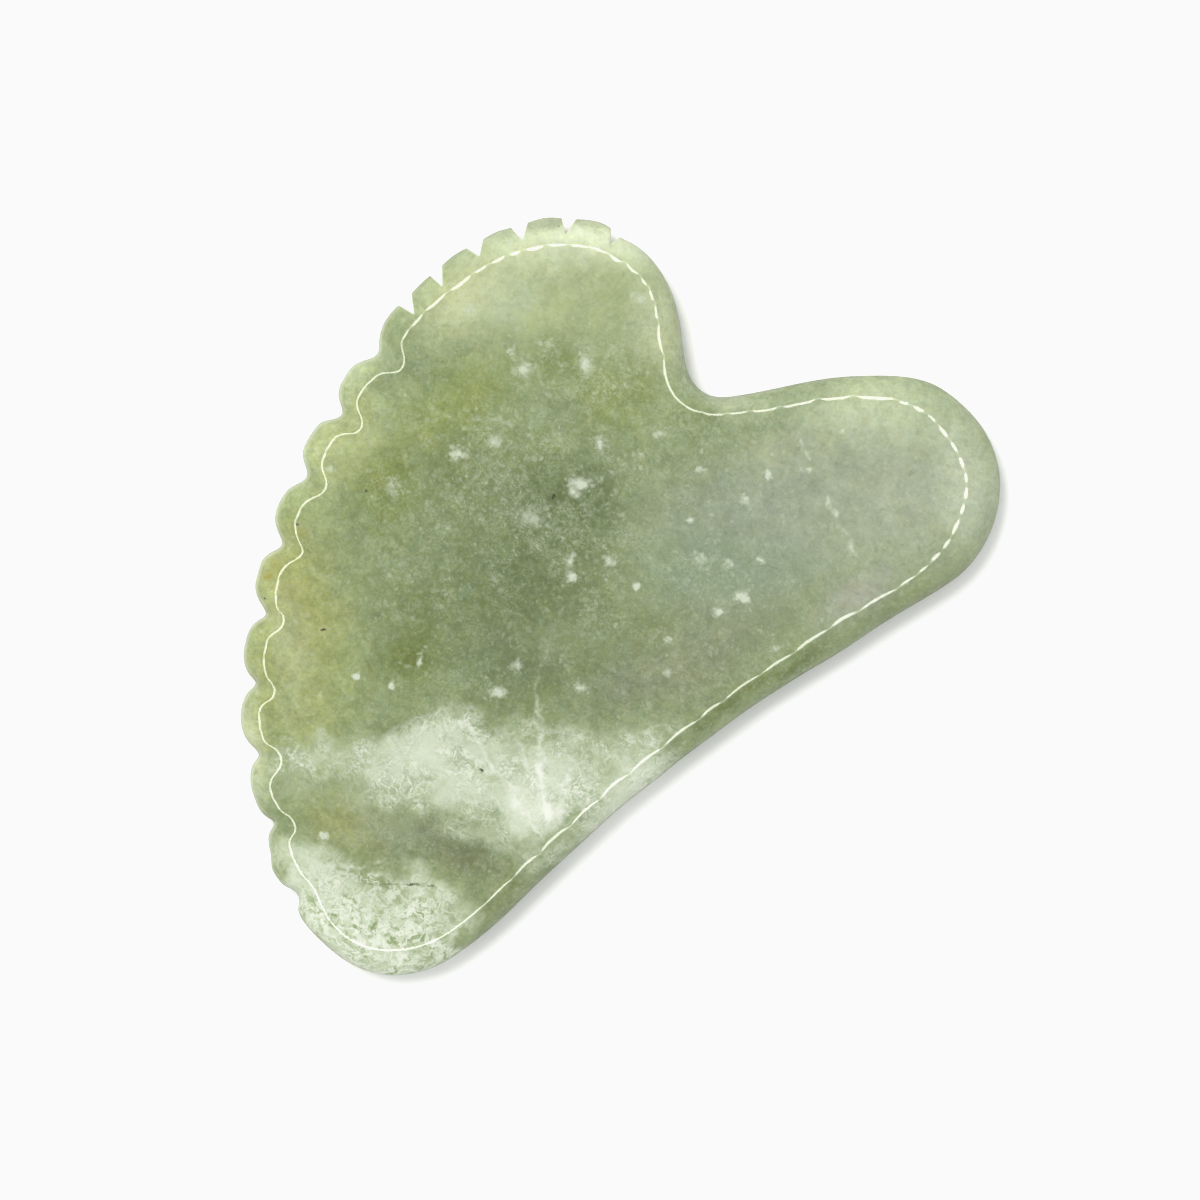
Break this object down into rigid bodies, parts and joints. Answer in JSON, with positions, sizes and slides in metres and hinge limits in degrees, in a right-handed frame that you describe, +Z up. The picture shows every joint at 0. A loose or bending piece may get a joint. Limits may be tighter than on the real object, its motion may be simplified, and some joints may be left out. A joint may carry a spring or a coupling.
{
  "type": "gua sha scraper",
  "caption": "Heart-shaped flat stone massage scraper with rounded rims, a scalloped comb edge and fine comb slots on one lobe.",
  "frame": {"origin": "middle of the plate's bounding rectangle, on the flat back face", "axes": "+Z up through the thickness, out of the flat front face; +Y along the heart from its rounded tip to its two lobes; +X from the scalloped comb side to the plain side"},
  "size_m": [0.0644, 0.08, 0.006],
  "materials": {
    "jade": "polished, slightly translucent pale green jade with white cloud veining"
  },
  "bodies": {
    "root": {"scraper_plate": "jade"}
  },
  "joints": []
}
